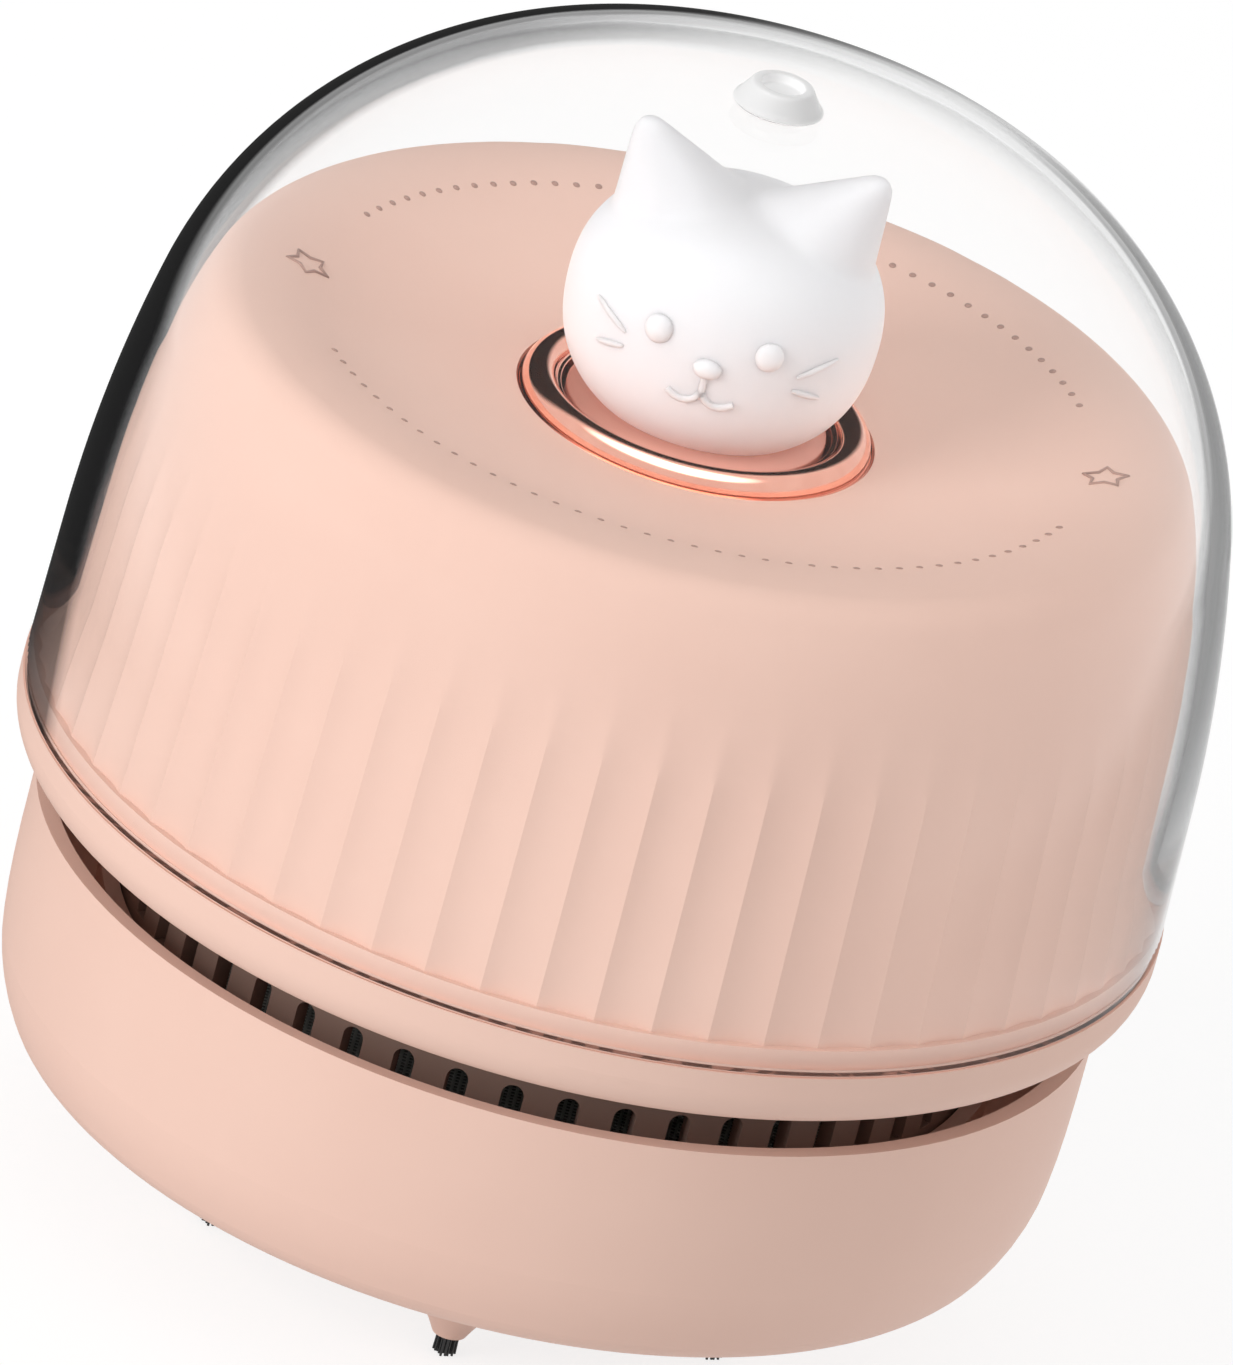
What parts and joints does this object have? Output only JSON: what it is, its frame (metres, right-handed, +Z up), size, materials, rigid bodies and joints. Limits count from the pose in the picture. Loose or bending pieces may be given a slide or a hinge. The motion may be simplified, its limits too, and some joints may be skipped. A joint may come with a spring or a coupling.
{
  "type": "desktop vacuum cleaner",
  "caption": "Round desktop vacuum cleaner with a fluted body under a clear dome, a cat-head push button, a lift-off dust bowl with bristle tufts and a ring of arched outlets.",
  "frame": {"origin": "on the vertical axis, at the height of the bristle tips that stand on the desk", "axes": "+Z up along the axis; the animal face looks along -Y; the charging inlet opens along +Y"},
  "size_m": [0.0908, 0.0908, 0.101],
  "materials": {
    "pink_plastic": "fine satin",
    "exhaust_plastic": "satin",
    "clear_plastic": "clear, polished",
    "rose_plating": "polished copper tone",
    "white_plastic": "frosted",
    "grey_plastic": "matte",
    "bristles": "nylon",
    "filter_cloth": "woven",
    "seal_rubber": "matte",
    "steel": "satin",
    "magnet": "dull",
    "copper_core": "bare",
    "board_green": "lacquered",
    "cell_wrap": "shrink wrap",
    "black_plastic": "matte"
  },
  "bodies": {
    "bowl": {"dust_bowl": "pink_plastic", "bowl_collar": "pink_plastic", "suction_throat": "pink_plastic", "brush_tuft_1": "bristles", "brush_tuft_2": "bristles", "brush_tuft_3": "bristles", "brush_tuft_4": "bristles", "brush_tuft_5": "bristles", "brush_tuft_6": "bristles"},
    "filter": {"filter_frame": "grey_plastic", "filter_mesh": "filter_cloth", "filter_seal": "seal_rubber"},
    "upper_unit": {"base_pan": "pink_plastic", "exhaust_ring": "exhaust_plastic", "ring_screws": "steel", "shell_screws": "steel", "body_shell": "pink_plastic", "button_bezel": "rose_plating", "motor_can": "steel", "motor_magnets": "magnet", "motor_end_cap": "black_plastic", "motor_bridge": "grey_plastic", "bridge_screws": "steel", "switch_board": "board_green", "board_screws": "steel", "switch_body": "black_plastic", "battery_cell": "cell_wrap", "battery_cradle": "black_plastic", "right_contact": "steel", "left_contact": "steel", "charging_board": "board_green", "charging_socket": "steel", "socket_tongue": "black_plastic"},
    "rotor": {"motor_armature": "copper_core", "motor_shaft": "steel", "impeller": "grey_plastic"},
    "button": {"cat_head": "white_plastic", "button_stem": "rose_plating", "switch_plunger": "white_plastic", "button_spring": "steel"},
    "dome": {"dome_cover": "clear_plastic"}
  },
  "joints": [
    {"name": "filter_lift", "type": "slide", "parent": "bowl", "child": "filter", "axis": [0, 0, 1], "range_m": [0, 0.025]},
    {"name": "bowl_release", "type": "slide", "parent": "filter", "child": "upper_unit", "axis": [0, 0, 1], "range_m": [0, 0.045]},
    {"name": "dome_lift", "type": "slide", "parent": "upper_unit", "child": "dome", "axis": [0, 0, 1], "range_m": [0, 0.06]},
    {"name": "fan_spin", "type": "hinge", "parent": "upper_unit", "child": "rotor", "pos_m": [0, 0, 0.04], "axis": [0, 0, 1], "continuous": true},
    {"name": "button_press", "type": "slide", "parent": "upper_unit", "child": "button", "axis": [0, 0, -1], "range_m": [0, 0.002], "stiffness_N_per_m": 400, "springref_m": -0.002, "deforming": ["button_spring"]}
  ]
}
